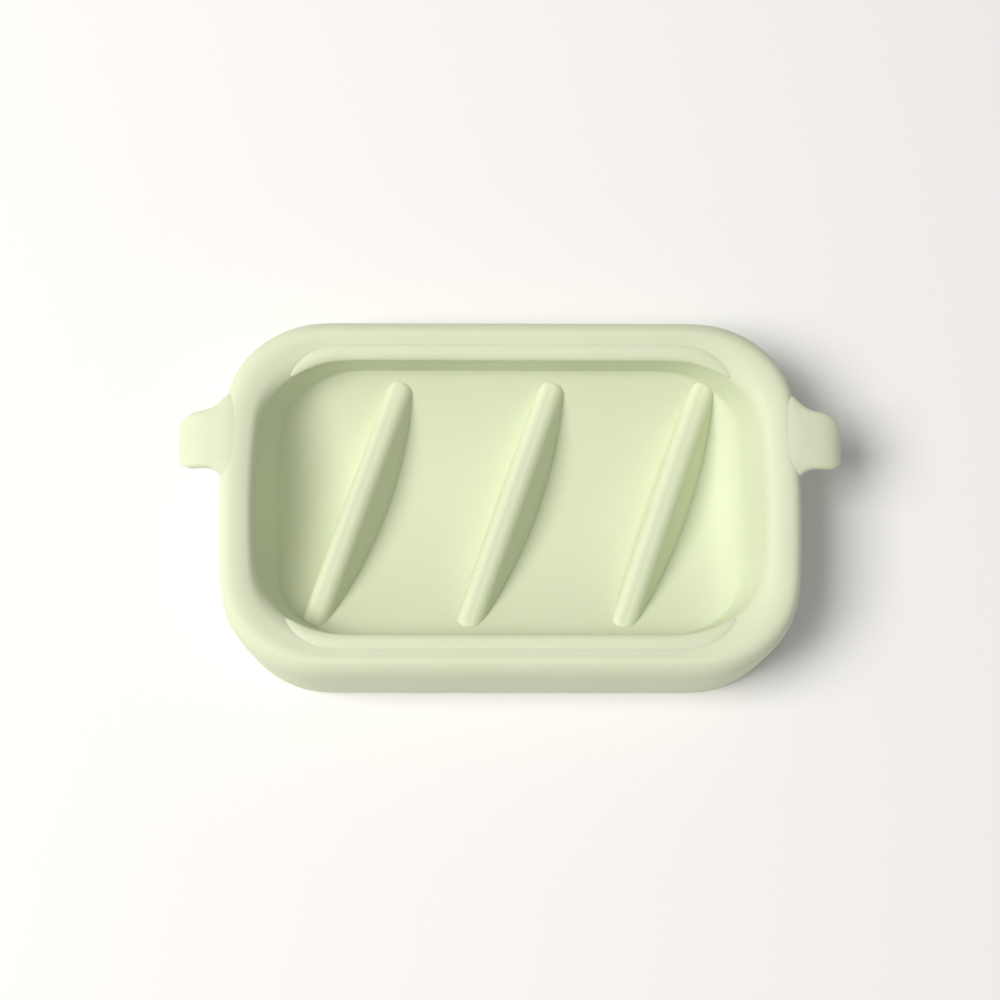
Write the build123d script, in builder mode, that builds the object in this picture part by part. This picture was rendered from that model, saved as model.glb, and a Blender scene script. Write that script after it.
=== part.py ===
"""Ribbed silicone soap mould: a hollow-bottomed tray with a half-pipe cavity and two pull tabs.

The tray is one moulding, so its regions are cut from one shell and meet face to face.
+X runs along the tray, +Y to the side the tabs are nearer to, +Z up. The origin is on
the surface the tray stands on, under the middle of the tray. Millimetres throughout.
"""

import os
from math import radians, sqrt, tan

from build123d import *

# Tray, over the rim and down to the table
rim_length = 129.2
rim_width = 81.4
height = 24.0
end_bulge = 2.2  # how far each short side bows out
corner_radius = 18.0
skirt_flare = 1.4  # how much further out the foot of the skirt stands than the rim
wall = 2.8

# Rim: a rolled band round the top, with a bead inside it along each long side
rim_depth = 7.0  # from the top of the rim down to the top of the skirt
rim_roll = 5.0
rim_inner_roll = 2.2
bead_width = 3.9
bead_drop = 0.6  # top of the bead under the top of the rim
bead_outer_roll = 0.9
bead_inner_roll = 1.2
bead_length = 94.0

# Cavity: a half pipe along X between two drafted end walls
cavity_length = 113.0  # at the mouth
cavity_width = 62.2  # at the mouth
cavity_corner = 14.0
floor_thickness = 2.8
floor_lift = 1.2  # underside of the floor above the table, at its lowest line
trough_sagitta = 10.0  # floor at the side walls above floor on the middle line
side_draft = 5.0
end_draft = 15.5
floor_corner = 10.5
floor_fillet = 2.0

# Ribs across the trough
rib_spacing = 34.8
rib_length = 61.0
rib_slant = 19.2  # turn of the ribs away from the Y axis
rib_top_width = 4.8
rib_height = 8.9  # over the lowest line of the floor
rib_steep_draft = 6.0  # flank towards -X
rib_gentle_draft = 24.0  # flank towards +X
rib_edge = 1.2
rib_end_roll = 2.1  # each end in plan

# Pull tabs, which bend at their root
tab_width = 13.9
tab_reach = 9.0  # out from the rim
tab_centre_y = 12.7
tab_thickness = 3.0
tab_droop = 2.2
tab_outer_slant = 0.9  # how much shorter the tab is at its back corner
tab_back_corner = 4.6
tab_front_corner = 2.0
tab_root_lift = 21.4  # height of the bending line
tab_root_offset = 0.6  # bending line outside the rim
tab_clearance = 0.3

# Worked out from the sizes above
floor_z = floor_lift + floor_thickness
rim_base = height - rim_depth
cavity_depth = height - floor_z
end_run = cavity_depth * tan(radians(end_draft))
floor_length = cavity_length - 2 * end_run
floor_width = cavity_width - 2 * cavity_depth * tan(radians(side_draft))
trough_half = cavity_width / 2 - (cavity_depth - trough_sagitta) * tan(radians(side_draft))
trough_radius = (trough_half**2 + trough_sagitta**2) / (2 * trough_sagitta)
trough_axis_z = floor_z + trough_radius


class TrayOutline(BaseSketchObject):
    """Plan outline with straight long sides and short sides that bow out."""

    _applies_to = [BuildSketch._tag]

    def __init__(self, length: float, width: float, corner: float, mode: Mode = Mode.ADD):
        end_x = length / 2 - end_bulge
        side_y = width / 2
        with BuildSketch() as outline:
            with BuildLine():
                Line((-end_x, side_y), (end_x, side_y))
                ThreePointArc((end_x, side_y), (length / 2, 0), (end_x, -side_y))
                Line((end_x, -side_y), (-end_x, -side_y))
                ThreePointArc((-end_x, -side_y), (-length / 2, 0), (-end_x, side_y))
            make_face()
            fillet(outline.vertices(), corner)
        super().__init__(outline.sketch, align=None, mode=mode)


def trough_pipe(radius: float) -> Part:
    """Pipe along X whose lower side is the half-pipe floor."""
    with BuildPart() as pipe:
        with BuildSketch(Plane.YZ):
            with Locations((0, trough_axis_z)):
                Circle(radius)
        extrude(amount=rim_length / 2, both=True)
    return pipe.part


# Space the soap is poured into
with BuildPart() as cavity:
    with BuildSketch(Plane.XY.offset(floor_z)):
        TrayOutline(floor_length, floor_width, floor_corner)
    with BuildSketch(Plane.XY.offset(height)):
        TrayOutline(cavity_length, cavity_width, cavity_corner)
    loft(ruled=True)
    add(trough_pipe(trough_radius), mode=Mode.INTERSECT)
    floor_face = cavity.faces().filter_by(GeomType.CYLINDER).sort_by(Axis.Z)[0]
    fillet(floor_face.edges(), floor_fillet)

# Outside of the basin, one wall outside the cavity
with BuildPart() as basin_outside:
    with BuildSketch(Plane.XY.offset(floor_lift)):
        TrayOutline(floor_length + 2 * wall, floor_width + 2 * wall, floor_corner + wall)
    with BuildSketch(Plane.XY.offset(height)):
        TrayOutline(cavity_length + 2 * wall, cavity_width + 2 * wall, cavity_corner + wall)
    loft(ruled=True)
    add(trough_pipe(trough_radius + floor_thickness), mode=Mode.INTERSECT)

# Outer skin: a flared skirt with a rolled rim on top
with BuildPart() as outer_skin:
    with BuildSketch():
        TrayOutline(
            rim_length + 2 * skirt_flare, rim_width + 2 * skirt_flare, corner_radius + skirt_flare
        )
    with BuildSketch(Plane.XY.offset(rim_base)):
        TrayOutline(rim_length, rim_width, corner_radius)
    loft(ruled=True)
    with BuildSketch(Plane.XY.offset(rim_base)):
        TrayOutline(rim_length, rim_width, corner_radius)
    extrude(amount=rim_depth)
    fillet(outer_skin.faces().sort_by(Axis.Z)[-1].edges(), rim_roll)

# Hollow under the rim, between the skirt and the basin
with BuildPart() as under_hollow:
    with BuildSketch():
        TrayOutline(
            rim_length + 2 * skirt_flare - 2 * wall,
            rim_width + 2 * skirt_flare - 2 * wall,
            corner_radius + skirt_flare - wall,
        )
    with BuildSketch(Plane.XY.offset(rim_base)):
        TrayOutline(rim_length - 2 * wall, rim_width - 2 * wall, corner_radius - wall)
    loft(ruled=True)
    with BuildSketch(Plane.XY.offset(rim_base)):
        TrayOutline(rim_length - 2 * wall, rim_width - 2 * wall, corner_radius - wall)
    extrude(amount=rim_depth - wall)
    add(basin_outside.part, mode=Mode.SUBTRACT)

# The whole tray without its ribs and tabs. The rim has a round groove for the root of each tab.
tab_root_x = rim_length / 2 + tab_root_offset
with BuildPart() as moulding:
    add(outer_skin.part)
    add(under_hollow.part, mode=Mode.SUBTRACT)
    add(cavity.part, mode=Mode.SUBTRACT)
    with BuildSketch(Plane.XZ.offset(-tab_centre_y)):
        with Locations((tab_root_x, tab_root_lift), (-tab_root_x, tab_root_lift)):
            Circle(tab_thickness / 2 + tab_clearance)
    extrude(amount=tab_width / 2 + tab_clearance, both=True, mode=Mode.SUBTRACT)

# Strip of the rim that each bead is made from
bead_step_width = cavity_width + 2 * bead_width
with BuildPart() as bead_zone:
    with BuildSketch(Plane.XY.offset(rim_base)):
        TrayOutline(cavity_length, bead_step_width, cavity_corner + bead_width)
        Rectangle(bead_length, bead_step_width, mode=Mode.INTERSECT)
    extrude(amount=rim_depth)

# Rolled band along the top of the tray
with BuildPart() as rim_band:
    add(moulding.part)
    split(bisect_by=Plane.XY.offset(rim_base), keep=Keep.TOP)
    add(bead_zone.part, mode=Mode.SUBTRACT)
    top_edges = rim_band.faces().sort_by(Axis.Z)[-1].inner_wires()[0].edges()
    mouth_edges = top_edges.filter_by(lambda edge: abs(edge.center().X) > bead_length / 2)
    fillet(mouth_edges, rim_inner_roll)

# Skirt that the tray stands on, and the basin that hangs inside it
with BuildPart() as skirt:
    add(moulding.part)
    split(bisect_by=Plane.XY.offset(rim_base), keep=Keep.BOTTOM)
    add(basin_outside.part, mode=Mode.SUBTRACT)

end_wall_x = floor_length / 2 - floor_fillet
with BuildPart() as basin:
    add(moulding.part)
    split(bisect_by=Plane.XY.offset(rim_base), keep=Keep.BOTTOM)
    add(basin_outside.part, mode=Mode.INTERSECT)

with BuildPart() as trough_floor:
    add(basin.part)
    split(bisect_by=Plane.YZ.offset(end_wall_x), keep=Keep.BOTTOM)
    split(bisect_by=Plane.YZ.offset(-end_wall_x), keep=Keep.TOP)

with BuildPart() as left_end_wall:
    add(basin.part)
    split(bisect_by=Plane.YZ.offset(-end_wall_x), keep=Keep.BOTTOM)

with BuildPart() as right_end_wall:
    add(basin.part)
    split(bisect_by=Plane.YZ.offset(end_wall_x), keep=Keep.TOP)


def bead(side: Keep) -> Part:
    """Low rounded bead between the rim band and the cavity, on one long side."""
    with BuildPart() as strip:
        add(moulding.part)
        add(bead_zone.part, mode=Mode.INTERSECT)
        split(bisect_by=Plane.XY.offset(height - bead_drop), keep=Keep.BOTTOM)
        split(bisect_by=Plane.XZ, keep=side)
        rails = strip.faces().sort_by(Axis.Z)[-1].edges().filter_by(Axis.Y, reverse=True)
        mid_y = cavity_width / 2 + bead_width / 2
        fillet(rails.filter_by(lambda edge: abs(edge.center().Y) < mid_y), bead_inner_roll)
        rails = strip.faces().sort_by(Axis.Z)[-1].edges().filter_by(Axis.Y, reverse=True)
        fillet(rails.filter_by(lambda edge: abs(edge.center().Y) > mid_y), bead_outer_roll)
    return strip.part


def rib(centre_x: float) -> Part:
    """Rib across the trough: level top, one steep and one gentle flank, rounded ends."""
    across = Vector(1, 0, 0).rotate(Axis.Z, -rib_slant)
    along = Vector(0, 1, 0).rotate(Axis.Z, -rib_slant)
    half_top = rib_top_width / 2
    top_z = floor_z + rib_height
    root_z = floor_z - rib_edge
    drop = top_z - root_z
    with BuildPart() as bar:
        with BuildSketch(Plane(origin=(centre_x, 0, 0), x_dir=across, z_dir=-along)):
            with BuildLine():
                Polyline(
                    (-half_top, top_z),
                    (half_top, top_z),
                    (half_top + drop * tan(radians(rib_gentle_draft)), root_z),
                    (-half_top - drop * tan(radians(rib_steep_draft)), root_z),
                    close=True,
                )
            make_face()
        extrude(amount=rib_length / 2, both=True)
        upright = bar.edges().filter_by(lambda edge: edge.bounding_box().size.Z > rib_height)
        fillet(upright, rib_end_roll)
        fillet(bar.faces().sort_by(Axis.Z)[-1].edges(), rib_edge)
        add(cavity.part, mode=Mode.INTERSECT)
    return bar.part


with BuildPart() as back_bead:
    add(bead(Keep.BOTTOM))

with BuildPart() as front_bead:
    add(bead(Keep.TOP))

with BuildPart() as left_rib:
    add(rib(-rib_spacing))

with BuildPart() as middle_rib:
    add(rib(0))

with BuildPart() as right_rib:
    add(rib(rib_spacing))

# Pull tab, drooping to its tip, with a round root about the line it bends at
half_tab = tab_thickness / 2
tab_tip_x = rim_length / 2 + tab_reach
tab_front_y = tab_centre_y - tab_width / 2
tab_back_y = tab_centre_y + tab_width / 2
with BuildPart() as right_tab:
    with BuildLine() as tab_middle:
        TangentArc(
            (tab_root_x, 0, tab_root_lift),
            (tab_tip_x - half_tab, 0, tab_root_lift - tab_droop),
            tangent=(1, 0, 0),
        )
    with BuildSketch(Plane.XZ.offset(-tab_centre_y)):
        SlotArc(Plane.XZ.to_local_coords(tab_middle.edges()[0]), tab_thickness)
    extrude(amount=tab_width / 2, both=True)
    with BuildSketch() as tab_plan:
        with BuildLine():
            Polyline(
                (tab_root_x - half_tab, tab_front_y),
                (tab_tip_x, tab_front_y),
                (tab_tip_x - tab_outer_slant, tab_back_y),
                (tab_root_x - half_tab, tab_back_y),
                close=True,
            )
        make_face()
        fillet(tab_plan.vertices().sort_by(Axis.X)[-1], tab_front_corner)
        fillet(tab_plan.vertices().group_by(Axis.Y)[-1].sort_by(Axis.X)[-1], tab_back_corner)
    extrude(amount=height, mode=Mode.INTERSECT)

with BuildPart() as left_tab:
    mirror(right_tab.part, about=Plane.YZ)

pieces = {
    "trough_floor": trough_floor,
    "left_end_wall": left_end_wall,
    "right_end_wall": right_end_wall,
    "skirt": skirt,
    "rim_band": rim_band,
    "back_bead": back_bead,
    "front_bead": front_bead,
    "left_rib": left_rib,
    "middle_rib": middle_rib,
    "right_rib": right_rib,
    "left_tab": left_tab,
    "right_tab": right_tab,
}
os.makedirs("parts", exist_ok=True)
for name, piece in pieces.items():
    piece.part.label = name
    export_step(piece.part, f"parts/{name}.step")
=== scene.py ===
import math

import bmesh
import bpy
from mathutils import Matrix, Vector


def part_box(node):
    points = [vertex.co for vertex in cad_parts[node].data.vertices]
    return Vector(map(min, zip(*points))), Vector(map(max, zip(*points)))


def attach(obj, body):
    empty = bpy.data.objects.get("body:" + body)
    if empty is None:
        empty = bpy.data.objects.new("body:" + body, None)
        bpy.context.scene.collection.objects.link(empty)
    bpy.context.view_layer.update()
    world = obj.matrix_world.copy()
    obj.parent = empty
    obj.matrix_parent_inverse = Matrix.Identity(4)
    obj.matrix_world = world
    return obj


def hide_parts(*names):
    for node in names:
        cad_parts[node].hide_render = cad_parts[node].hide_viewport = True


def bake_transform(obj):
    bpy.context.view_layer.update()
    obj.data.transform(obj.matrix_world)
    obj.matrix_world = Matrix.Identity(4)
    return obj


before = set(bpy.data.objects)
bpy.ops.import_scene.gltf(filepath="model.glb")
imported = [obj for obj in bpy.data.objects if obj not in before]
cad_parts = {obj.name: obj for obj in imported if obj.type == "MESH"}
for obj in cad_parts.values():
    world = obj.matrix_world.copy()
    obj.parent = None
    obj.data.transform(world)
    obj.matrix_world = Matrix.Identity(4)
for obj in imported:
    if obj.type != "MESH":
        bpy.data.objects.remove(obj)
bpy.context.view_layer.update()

MM = 0.001

# Sizes in mm, from the boxes of the CAD nodes where they give them
_, rim_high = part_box("rim_band")
rib_low, rib_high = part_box("middle_rib")
half_length, half_width, _ = rim_high / MM
floor_z = rib_low.z / MM  # lowest line of the trough
trough_radius = 50.6
trough_end = 53.9
end_roll = 9.5  # between the floor and the end walls
floor_thickness = 2.8
same = 0.01  # heights closer than this belong to one ring

# Outline of the tray
end_bow = 3.0
corner_radius = 18.9
corner_cuts = 6
long_side_cuts = 15
short_side_cuts = 9

# Rings of the skin, each as (distance in from the end of the rim, distance in from its long
# side, height). These go from the foot up the skirt, over the rim and down to the mouth.
foot_ring = (0.9, -0.8, 0.0)
skirt_rings = [
    (0.45, -1.25, 0.1),
    (0.3, -1.4, 0.6),
    (0.3, -1.3, 2.2),
    (0.25, -0.9, 6.5),
    (0.15, -0.35, 12.0),
    (0.05, 0.1, 16.5),
]
rim_rings = [
    (0.0, 0.4, 18.9),
    (0.05, 1.0, 20.9),
    (0.35, 1.9, 22.5),
    (1.0, 2.8, 23.5),
    (2.1, 3.55, 23.95),
    (3.3, 4.15, 24.0),
    (4.6, 4.75, 23.88),
    (5.7, 5.3, 23.62),
]
ledge_rings = [
    (6.4, 5.9, 23.4),
    (6.9, 7.0, 23.1),
    (7.3, 7.9, 22.7),
    (7.7, 8.8, 22.1),
    (8.1, 9.85, 21.3),
]
mouth_ring = (8.55, 9.95, 20.0)
floor_rings = [(11.3, 10.2), (12.4, 10.4), (14.2, 10.8), (16.8, 11.9), (20.4, 14.6)]
floor_start_z = 1.0

# From the middle of the foot in, up under the rim, and down round the basin
under_rings = [
    (1.7, 0.0, 0.0),
    (2.5, 0.8, 0.0),
    (2.95, 1.25, 0.1),
    (3.1, 1.4, 0.6),
    (3.1, 1.5, 2.2),
    (3.05, 1.85, 6.5),
    (2.95, 2.3, 12.0),
    (2.85, 2.7, 16.8),
    (3.0, 3.0, 19.4),
    (3.6, 3.8, 20.8),
    (4.4, 5.0, 21.1),
    (5.1, 6.0, 20.5),
    (5.5, 6.7, 19.0),
]
basin_rings = [(10.9, 7.7), (13.6, 8.9), (19.0, 13.0)]
basin_start_z = -5.0
wall_rows = 6
tall_wall = 4.0  # a wall that drops further than this is cut into rows

# Bead on the ledge
bead_tops = [23.15, 23.4, 23.44, 23.3, 22.6]  # height over each ring of the ledge
bead_base = 20.9
bead_lift = 8.0  # holds the top clear of the base until both are shaped
bead_end_x = 50.2
bead_taper = [(40.5, 0.06), (44.5, 0.3), (48.0, 1.0)]  # x and how much lower it gets past there
bead_tuck = 0.9955  # draws the bead in so that its inner face covers the top of the wall

# Ribs
rib_spacing = 34.8
rib_slant = 19.2
rib_top_width = 4.8
rib_length = 61.0
rib_steep_draft = 6.0
rib_gentle_draft = 24.0
rib_edge = 1.7
rib_end_roll = 2.25
rib_root = 1.2  # how deep a rib goes into the floor

# Pull tab on the right: each row across it is (x, front y, back y, top z)
tab_thickness = 3.0
tab_rows = [
    (60.3, 3.6, 23.0, 23.8),
    (61.1, 3.2, 23.6, 23.95),
    (61.9, 2.9, 24.0, 24.0),
    (62.9, 2.9, 23.9, 24.0),
    (63.9, 3.2, 23.3, 23.95),
    (64.9, 4.2, 21.9, 23.84),
    (66.2, 5.3, 20.6, 23.67),
    (68.2, 5.75, 19.8, 23.36),
    (70.2, 5.75, 19.6, 22.92),
    (72.2, 5.8, 18.9, 22.1),
    (73.5, 6.4, 17.8, 20.95),
    (74.3, 7.7, 16.3, 19.7),
]
# x and how far the edge drops there
tab_shoulders = [
    (60.3, 0.5),
    (61.1, 0.5),
    (61.9, 0.5),
    (62.9, 0.55),
    (63.9, 0.75),
    (64.9, 0.55),
    (66.2, 0.2),
]
tab_front, tab_back = 5.9, 19.5  # the edge columns lie outside these

# Colours of the silicone and the table
silicone_dark = "d6ddbc"
silicone_light = "dde4c6"
card_white = "f4f2f0"

# Camera and light: angles in degrees, the camera's place in mm, the softbox in metres
camera_place = (-6.24, -66.13, 392.0)
camera_tilt, camera_pan = 9.99, 0.59
softbox_elevation, softbox_azimuth = 55.5, 184
softbox_distance, softbox_side = 1.5, 0.8
softbox_energy = 21.5
room_strength = 0.32


def hold(piece):
    """Makes one object the only selected and active one."""
    bpy.ops.object.select_all(action="DESELECT")
    piece.select_set(True)
    bpy.context.view_layer.objects.active = piece


def pick(piece, kind, test):
    """Selects, in edit mode, the vertices, edges or faces whose middle, in mm, passes the test."""
    bpy.context.tool_settings.mesh_select_mode = [kind == k for k in ("verts", "edges", "faces")]
    bpy.ops.mesh.select_all(action="DESELECT")
    mesh = bmesh.from_edit_mesh(piece.data)
    for part in getattr(mesh, kind):
        if kind == "verts":
            middle = part.co
        elif kind == "edges":
            middle = (part.verts[0].co + part.verts[1].co) / 2
        else:
            middle = part.calc_center_median()
        if test(middle / MM):
            part.select_set(True)
    bmesh.update_edit_mesh(piece.data)


def apply_modifier(piece, kind, **settings):
    """Adds a modifier with its settings and applies it."""
    hold(piece)
    modifier = piece.modifiers.new(kind.lower(), kind)
    for name, value in settings.items():
        setattr(modifier, name, value)
    bpy.ops.object.modifier_apply(modifier=modifier.name)


def round_off(piece, levels):
    """Rounds a piece with a subdivision surface and shades it smooth."""
    apply_modifier(piece, "SUBSURF", levels=levels, render_levels=levels)
    bpy.ops.object.shade_smooth()


def shift(x=0, y=0, z=0):
    """Moves what is selected in edit mode, in mm."""
    bpy.ops.transform.translate(value=(x * MM, y * MM, z * MM))


def stretch(x=1, y=1, z=1, about=(0, 0, 0)):
    """Scales what is selected in edit mode about a point, in mm."""
    bpy.ops.transform.resize(value=(x, y, z), center_override=[a * MM for a in about])


def lift_ring(last, ring):
    """Pulls the selected face out to the next ring, with that ring's size and height."""
    (last_x, last_y, last_z), (x, y, z) = last, ring
    bpy.ops.mesh.extrude_region_move(
        TRANSFORM_OT_translate={"value": (0, 0, (z - last_z) * MM)}
    )
    stretch(
        (half_length - x) / (half_length - last_x),
        (half_width - y) / (half_width - last_y),
        about=(0, 0, z),
    )


def lift_rings(last, rings):
    """Pulls the selected face out through ring after ring."""
    for ring in rings:
        lift_ring(last, ring)
        last = ring


def pipe_along_x(offset, half_run, roll=0):
    """Helper shaped like the room in the trough: a cylinder along the tray, its ends rolled."""
    radius = trough_radius + offset
    bpy.ops.mesh.primitive_cylinder_add(
        vertices=256,
        radius=radius * MM,
        depth=2 * half_run * MM,
        location=(0, 0, (floor_z + trough_radius) * MM),
        rotation=(0, math.pi / 2, 0),
    )
    pipe = bpy.context.object
    if roll:
        bpy.ops.object.transform_apply(location=True, rotation=True)
        bpy.ops.object.mode_set(mode="EDIT")
        pick(pipe, "edges", lambda c: abs(c.x) > half_run - 0.01)
        bpy.ops.mesh.bevel(offset=roll * MM, offset_type="OFFSET", segments=24, affect="EDGES")
        bpy.ops.object.mode_set(mode="OBJECT")
    return pipe


def raise_floor(tray, start_z, offset):
    """Fills the flat patch at start_z with a grid and raises it to the trough's curve."""
    pick(tray, "faces", lambda c: abs(c.z - start_z) < same and abs(c.x) < 1 and abs(c.y) < 1)
    bpy.ops.mesh.delete(type="ONLY_FACE")
    bpy.context.tool_settings.mesh_select_mode = (False, True, False)
    mesh = bmesh.from_edit_mesh(tray.data)
    for edge in mesh.edges:
        edge.select_set(edge.is_boundary)
    bmesh.update_edit_mesh(tray.data)
    bpy.ops.mesh.fill_grid(span=short_side_cuts + 1 + corner_cuts, offset=0)
    pick(tray, "verts", lambda c: abs(c.z - start_z) < same)
    bpy.ops.object.vertex_group_assign_new()
    bpy.ops.object.mode_set(mode="OBJECT")
    pipe = pipe_along_x(offset, trough_end + offset, end_roll + offset)
    apply_modifier(
        tray,
        "SHRINKWRAP",
        target=pipe,
        vertex_group=tray.vertex_groups.active.name,
        wrap_method="PROJECT",
        use_project_z=True,
        use_positive_direction=True,
        use_negative_direction=False,
    )
    bpy.data.objects.remove(pipe)
    tray.vertex_groups.clear()
    bpy.ops.object.mode_set(mode="EDIT")


def cut_wall(tray, top_z):
    """Cuts the tall wall below a ring into rows."""
    bpy.context.tool_settings.mesh_select_mode = (False, True, False)
    bpy.ops.mesh.select_all(action="DESELECT")
    mesh = bmesh.from_edit_mesh(tray.data)
    for edge in mesh.edges:
        low, high = sorted(v.co.z / MM for v in edge.verts)
        edge.select_set(abs(high - top_z) < same and low < high - tall_wall)
    bmesh.update_edit_mesh(tray.data)
    bpy.ops.mesh.subdivide_edgering(number_cuts=wall_rows - 1, interpolation="LINEAR")


def model_tray_cage():
    """Coarse closed skin of the tray: foot, skirt, rim, ledge, walls, trough floor, underside."""
    bpy.ops.object.select_all(action="DESELECT")
    bpy.ops.mesh.primitive_plane_add(size=2)
    tray = bpy.context.object
    tray.name = "tray_shell"
    bpy.ops.object.mode_set(mode="EDIT")
    length, width = half_length - foot_ring[0], half_width - foot_ring[1]
    stretch((length - end_bow) * MM, width * MM)
    bpy.ops.mesh.bevel(
        offset=corner_radius * MM, offset_type="OFFSET", segments=corner_cuts, affect="VERTICES"
    )
    for side in (-1, 1):
        pick(tray, "edges", lambda c: abs(c.x) < 1 and c.y * side > 0)
        bpy.ops.mesh.subdivide(number_cuts=long_side_cuts)
        pick(tray, "edges", lambda c: abs(c.y) < 1 and c.x * side > 0)
        bpy.ops.mesh.subdivide(number_cuts=short_side_cuts)
    for side in (-1, 1):
        pick(tray, "verts", lambda c: c.x * side > length - end_bow - 0.1 and abs(c.y) < 0.1)
        bpy.ops.transform.translate(
            value=(side * end_bow * MM, 0, 0),
            use_proportional_edit=True,
            proportional_edit_falloff="INVERSE_SQUARE",
            proportional_size=width * MM,
        )

    pick(tray, "faces", lambda c: True)
    flat = [(x, y, floor_start_z) for x, y in floor_rings]
    lift_rings(foot_ring, skirt_rings + rim_rings + ledge_rings + [mouth_ring] + flat)
    raise_floor(tray, floor_start_z, 0)

    pick(tray, "faces", lambda c: abs(c.z) < 0.001 and abs(c.x) < 1 and abs(c.y) < 1)
    flat = [(x, y, basin_start_z) for x, y in basin_rings]
    lift_rings(foot_ring, under_rings + flat)
    raise_floor(tray, basin_start_z, floor_thickness)

    cut_wall(tray, mouth_ring[2])
    cut_wall(tray, under_rings[-1][2])
    bpy.ops.mesh.select_all(action="SELECT")
    bpy.ops.mesh.normals_make_consistent(inside=False)
    bpy.ops.object.mode_set(mode="OBJECT")
    return tray


def model_back_bead(tray):
    """Rounded bead along the back of the cavity, taken from the ledge to follow the mouth."""
    hold(tray)
    bpy.ops.object.mode_set(mode="EDIT")
    low_z, high_z = ledge_rings[-1][2], ledge_rings[0][2]
    far_y = half_width - ledge_rings[0][1] + 0.4
    pick(
        tray,
        "faces",
        lambda c: low_z < c.z < high_z and 20 < c.y < far_y and abs(c.x) < bead_end_x,
    )
    bpy.ops.mesh.duplicate()
    bpy.ops.mesh.separate(type="SELECTED")
    bpy.ops.object.mode_set(mode="OBJECT")
    bead = next(o for o in bpy.context.selected_objects if o != tray)
    bead.name = "back_bead_bar"
    hold(bead)
    bpy.ops.object.mode_set(mode="EDIT")
    bpy.ops.mesh.select_all(action="SELECT")
    bpy.ops.mesh.extrude_region_move(TRANSFORM_OT_translate={"value": (0, 0, bead_lift * MM)})
    pick(bead, "verts", lambda c: c.z < high_z + 1)
    stretch(z=0, about=(0, 0, bead_base))
    for ring, top in zip(ledge_rings, bead_tops):
        raised = ring[2] + bead_lift
        pick(bead, "verts", lambda c: abs(c.z - raised) < same)
        shift(z=top - raised)
    # A row halfway up its sides
    middle, spread = (bead_tops[0] + bead_base) / 2, 0.45
    pick(bead, "edges", lambda c: abs(c.z - middle) < spread)
    bpy.ops.mesh.subdivide_edgering(number_cuts=1, interpolation="LINEAR")
    # Its ends sink into the rim, and that row sinks half as far
    for x, drop in bead_taper:
        low, high = bead_base + 0.1, middle + spread
        pick(bead, "verts", lambda c: abs(c.x) > x and c.z > low)
        shift(z=-drop)
        pick(bead, "verts", lambda c: abs(c.x) > x and low - drop < c.z < high - drop)
        shift(z=drop / 2)
    bpy.ops.mesh.select_all(action="SELECT")
    stretch(bead_tuck, bead_tuck)
    bpy.ops.mesh.normals_make_consistent(inside=False)
    bpy.ops.object.mode_set(mode="OBJECT")
    round_off(bead, 2)
    return bead


def copy_piece(piece, name):
    """A copy of a finished piece with a mesh of its own."""
    hold(piece)
    bpy.ops.object.duplicate()
    copy = bpy.context.object
    copy.name = name
    return copy


def mirror_piece(piece, name, x=1, y=1):
    """A mirrored copy, with its faces turned outward again."""
    copy = copy_piece(piece, name)
    bpy.ops.object.mode_set(mode="EDIT")
    bpy.ops.mesh.select_all(action="SELECT")
    stretch(x, y)
    bpy.ops.mesh.normals_make_consistent(inside=False)
    bpy.ops.object.mode_set(mode="OBJECT")
    return copy


def model_rib():
    """Rib through the middle of the trough: level top, a steep and a gentle flank, round ends."""
    low, high = floor_z - 2, rib_high.z / MM
    height = high - low
    bpy.ops.object.select_all(action="DESELECT")
    bpy.ops.mesh.primitive_cube_add(size=2)
    rib = bpy.context.object
    rib.name = "middle_rib_bar"
    bpy.ops.object.mode_set(mode="EDIT")
    stretch(rib_top_width / 2 * MM, rib_length / 2 * MM, height / 2 * MM)
    shift(z=low + height / 2)
    pick(rib, "verts", lambda c: c.x > 0 and c.z < low + 1)
    shift(x=height * math.tan(math.radians(rib_gentle_draft)))
    pick(rib, "verts", lambda c: c.x < 0 and c.z < low + 1)
    shift(x=-height * math.tan(math.radians(rib_steep_draft)))
    pick(rib, "edges", lambda c: abs(c.z - low - height / 2) < 0.1)
    bpy.ops.mesh.bevel(
        offset=rib_end_roll * MM, offset_type="OFFSET", segments=10, affect="EDGES"
    )
    pick(rib, "edges", lambda c: c.z > high - 0.01)
    bpy.ops.mesh.bevel(offset=rib_edge * MM, offset_type="OFFSET", segments=5, affect="EDGES")
    bpy.ops.mesh.select_all(action="SELECT")
    bpy.ops.transform.rotate(
        value=math.radians(rib_slant), orient_axis="Z", center_override=(0, 0, 0)
    )
    bpy.ops.object.mode_set(mode="OBJECT")
    pipe = pipe_along_x(rib_root, trough_end)
    apply_modifier(rib, "BOOLEAN", operation="INTERSECT", object=pipe, solver="EXACT")
    bpy.data.objects.remove(pipe)
    bpy.ops.object.shade_smooth_by_angle(angle=math.radians(40))
    apply_modifier(rib, "WEIGHTED_NORMAL", mode="FACE_AREA", weight=80, keep_sharp=True)
    return rib


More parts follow.
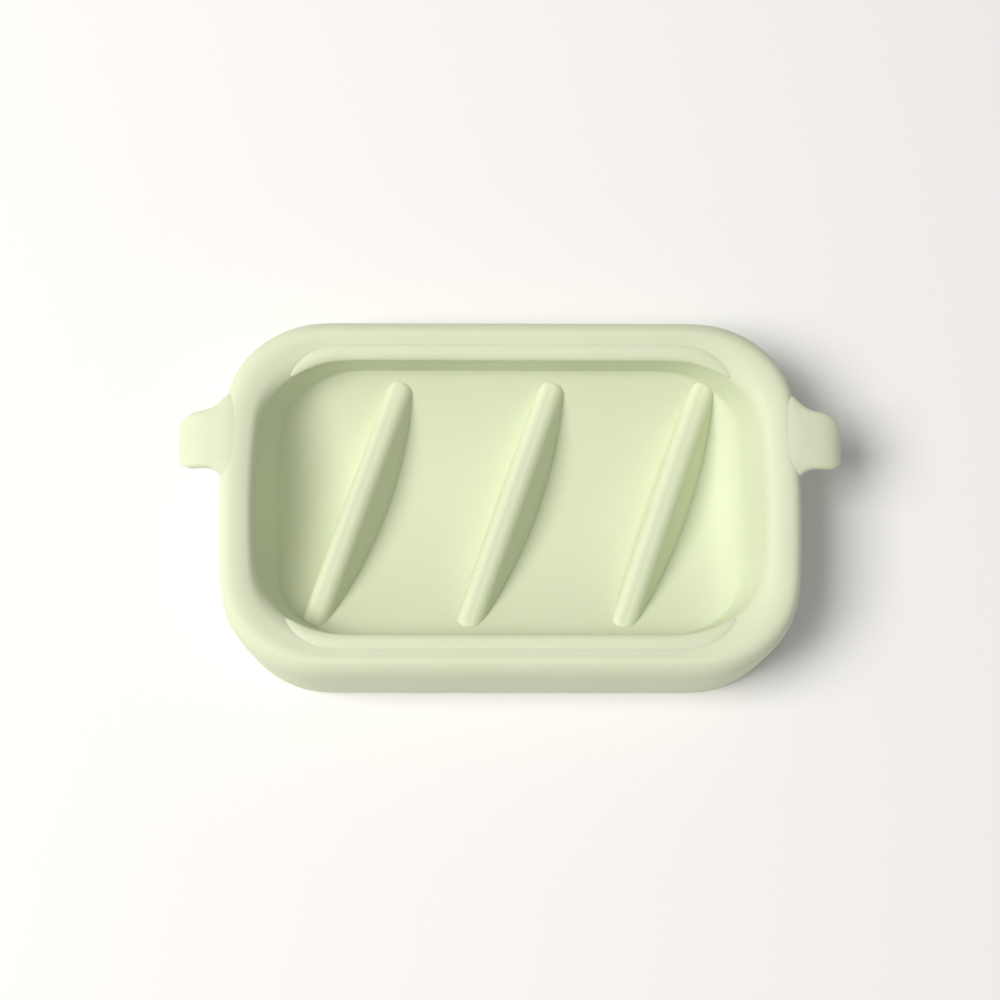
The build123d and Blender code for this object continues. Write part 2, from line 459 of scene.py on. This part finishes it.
def model_right_tab():
    """Pull tab that grows out of the rim and droops to its tip."""
    bpy.ops.object.select_all(action="DESELECT")
    bpy.ops.mesh.primitive_grid_add(x_subdivisions=1, y_subdivisions=5, size=2)
    tab = bpy.context.object
    tab.name = "right_tab_flap"
    bpy.ops.object.mode_set(mode="EDIT")
    (x0, front, back, z0), (x1, _, _, z1) = tab_rows[0], tab_rows[1]
    stretch((x1 - x0) / 2 * MM, (back - front) / 2 * MM)
    shift(x=(x0 + x1) / 2, y=(front + back) / 2, z=z1)
    pick(tab, "verts", lambda c: c.x < x0 + 0.1)
    shift(z=z0 - z1)
    for last, row in zip(tab_rows[1:], tab_rows[2:]):
        pick(tab, "edges", lambda c: c.x > last[0] - 0.05)
        last_middle, middle = (last[1] + last[2]) / 2, (row[1] + row[2]) / 2
        step = [(row[0] - last[0]) * MM, (middle - last_middle) * MM, (row[3] - last[3]) * MM]
        bpy.ops.mesh.extrude_region_move(TRANSFORM_OT_translate={"value": step})
        stretch(y=(row[2] - row[1]) / (last[2] - last[1]), about=(0, middle, 0))
    for x, drop in tab_shoulders:
        pick(tab, "verts", lambda c: abs(c.x - x) < 0.1 and not tab_front < c.y < tab_back)
        shift(z=-drop)
    bpy.ops.mesh.select_all(action="SELECT")
    bpy.ops.mesh.normals_make_consistent(inside=False)
    bpy.ops.object.mode_set(mode="OBJECT")
    apply_modifier(tab, "SOLIDIFY", thickness=tab_thickness * MM, offset=-1, use_even_offset=True)
    round_off(tab, 3)
    return tab


def hex_colour(code):
    """sRGB hex to the linear values that shaders take."""
    parts = [int(code[i : i + 2], 16) / 255 for i in (0, 2, 4)]
    linear = [p / 12.92 if p <= 0.04045 else ((p + 0.055) / 1.055) ** 2.4 for p in parts]
    return (*linear, 1.0)


def add_node(tree, kind, links=(), **settings):
    """Adds a shader node, sets its values and sockets, and links its inputs."""
    node = tree.nodes.new(kind)
    for name, value in settings.items():
        if name in node.inputs.keys():
            node.inputs[name].default_value = value
        else:
            setattr(node, name, value)
    for socket, source in links:
        tree.links.new(source, node.inputs[socket])
    return node


def moulded_silicone():
    """Silicone rubber cured in a fine-blasted mould.

    It is matte and a little see-through at its edges, with a faint grain from the mould and
    slow changes of tint where the pigment was stirred in.
    """
    material = bpy.data.materials.new("moulded_silicone_sage")
    material.use_nodes = True
    tree = material.node_tree
    tree.nodes.clear()
    place = add_node(tree, "ShaderNodeTexCoord").outputs["Object"]
    # Pigment clouds about 30 mm across
    clouds = add_node(
        tree,
        "ShaderNodeTexNoise",
        [("Vector", place)],
        Scale=1 / (30 * MM),
        Detail=2.0,
        Roughness=0.45,
    )
    tint = add_node(
        tree,
        "ShaderNodeMix",
        [("Factor", clouds.outputs["Fac"])],
        data_type="RGBA",
    )
    tint.inputs[6].default_value = hex_colour(silicone_dark)
    tint.inputs[7].default_value = hex_colour(silicone_light)
    # Sheen changes over about 8 mm, where the mould was blasted unevenly
    patches = add_node(
        tree, "ShaderNodeTexNoise", [("Vector", place)], Scale=1 / (8 * MM), Detail=3.0
    )
    rough = add_node(tree, "ShaderNodeMapRange", [("Value", patches.outputs["Fac"])])
    rough.inputs["To Min"].default_value = 0.52
    rough.inputs["To Max"].default_value = 0.64
    # The blasted grain is about 0.1 mm; it is drawn at 0.45 mm so that it shows
    grain = add_node(
        tree, "ShaderNodeTexNoise", [("Vector", place)], Scale=1 / (0.45 * MM), Detail=2.0
    )
    bumps = add_node(
        tree,
        "ShaderNodeBump",
        [("Height", grain.outputs["Fac"])],
        Strength=0.12,
        Distance=0.03 * MM,
    )
    shader = add_node(
        tree,
        "ShaderNodeBsdfPrincipled",
        [
            ("Base Color", tint.outputs[2]),
            ("Roughness", rough.outputs["Result"]),
            ("Normal", bumps.outputs["Normal"]),
        ],
        IOR=1.41,
    )
    shader.inputs["Subsurface Weight"].default_value = 0.25
    shader.inputs["Subsurface Radius"].default_value = (1.0, 1.0, 0.6)
    shader.inputs["Subsurface Scale"].default_value = 1.6 * MM
    add_node(tree, "ShaderNodeOutputMaterial", [("Surface", shader.outputs["BSDF"])])
    return material


def table_card():
    """Smooth white card with a faint warm tint."""
    material = bpy.data.materials.new("table_card")
    material.use_nodes = True
    shader = material.node_tree.nodes["Principled BSDF"]
    shader.inputs["Base Color"].default_value = hex_colour(card_white)
    shader.inputs["Roughness"].default_value = 0.85
    return material


tray_shell = model_tray_cage()
back_bead = model_back_bead(tray_shell)
front_bead = mirror_piece(back_bead, "front_bead_bar", y=-1)
round_off(tray_shell, 2)
middle_rib = model_rib()
ribs = {"middle_rib": middle_rib}
for name, side in (("left_rib", -1), ("right_rib", 1)):
    ribs[name] = copy_piece(middle_rib, name + "_bar")
    bpy.ops.object.mode_set(mode="EDIT")
    bpy.ops.mesh.select_all(action="SELECT")
    shift(x=side * rib_spacing)
    bpy.ops.object.mode_set(mode="OBJECT")
right_tab = model_right_tab()
left_tab = mirror_piece(right_tab, "left_tab_flap", x=-1)

silicone = moulded_silicone()
pieces = [tray_shell, back_bead, front_bead, *ribs.values(), right_tab, left_tab]
for piece in pieces:
    piece.data.materials.clear()
    piece.data.materials.append(silicone)
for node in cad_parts.values():
    node.data.materials.clear()
    node.data.materials.append(silicone)

for piece in [tray_shell, back_bead, front_bead, *ribs.values()]:
    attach(piece, "tray")
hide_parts("skirt", "rim_band", "trough_floor", "left_end_wall", "right_end_wall")
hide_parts("back_bead")
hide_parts("front_bead")
for name, rib in ribs.items():
    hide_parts(name)
# Each tab's CAD node is hidden and the tab's placing is baked into its mesh
for name, tab, side in (("right_tab", right_tab, 1), ("left_tab", left_tab, -1)):
    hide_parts(name)
    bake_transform(tab)

# Table
bpy.ops.object.select_all(action="DESELECT")
bpy.ops.mesh.primitive_plane_add(size=8)
table = bpy.context.object
table.name = "table"
table.data.materials.append(table_card())

# Camera, high over the front of the tray
camera_data = bpy.data.cameras.new("camera")
camera_data.lens = 61.2
camera_data.sensor_width = 36
camera_data.clip_start = 0.01
camera = bpy.data.objects.new("camera", camera_data)
bpy.context.scene.collection.objects.link(camera)
tilt, pan = math.radians(camera_tilt), math.radians(camera_pan)
look = Vector((math.sin(pan), math.sin(tilt) * math.cos(pan), -math.cos(tilt) * math.cos(pan)))
right = look.cross(Vector((0, 1, 0))).normalized()
camera.location = Vector(camera_place) * MM
camera.rotation_euler = Matrix((right, right.cross(look), -look)).transposed().to_euler()
bpy.context.scene.camera = camera

# One large softbox to the left and pale walls all round
elevation, azimuth = math.radians(softbox_elevation), math.radians(softbox_azimuth)
key_place = softbox_distance * Vector(
    (
        math.cos(elevation) * math.cos(azimuth),
        math.cos(elevation) * math.sin(azimuth),
        math.sin(elevation),
    )
)
bpy.ops.object.light_add(type="AREA", location=key_place)
key = bpy.context.object
key.name = "softbox"
key.data.shape = "RECTANGLE"
key.data.size, key.data.size_y = softbox_side, softbox_side
key.data.energy = softbox_energy
key.data.color = (1.0, 0.985, 0.96)
key.rotation_euler = (-key_place).to_track_quat("-Z", "Y").to_euler()

world = bpy.data.worlds.new("studio")
bpy.context.scene.world = world
world.use_nodes = True
world.node_tree.nodes["Background"].inputs["Color"].default_value = (0.97, 0.98, 1.0, 1)
world.node_tree.nodes["Background"].inputs["Strength"].default_value = room_strength
bpy.context.scene.view_settings.view_transform = "Standard"
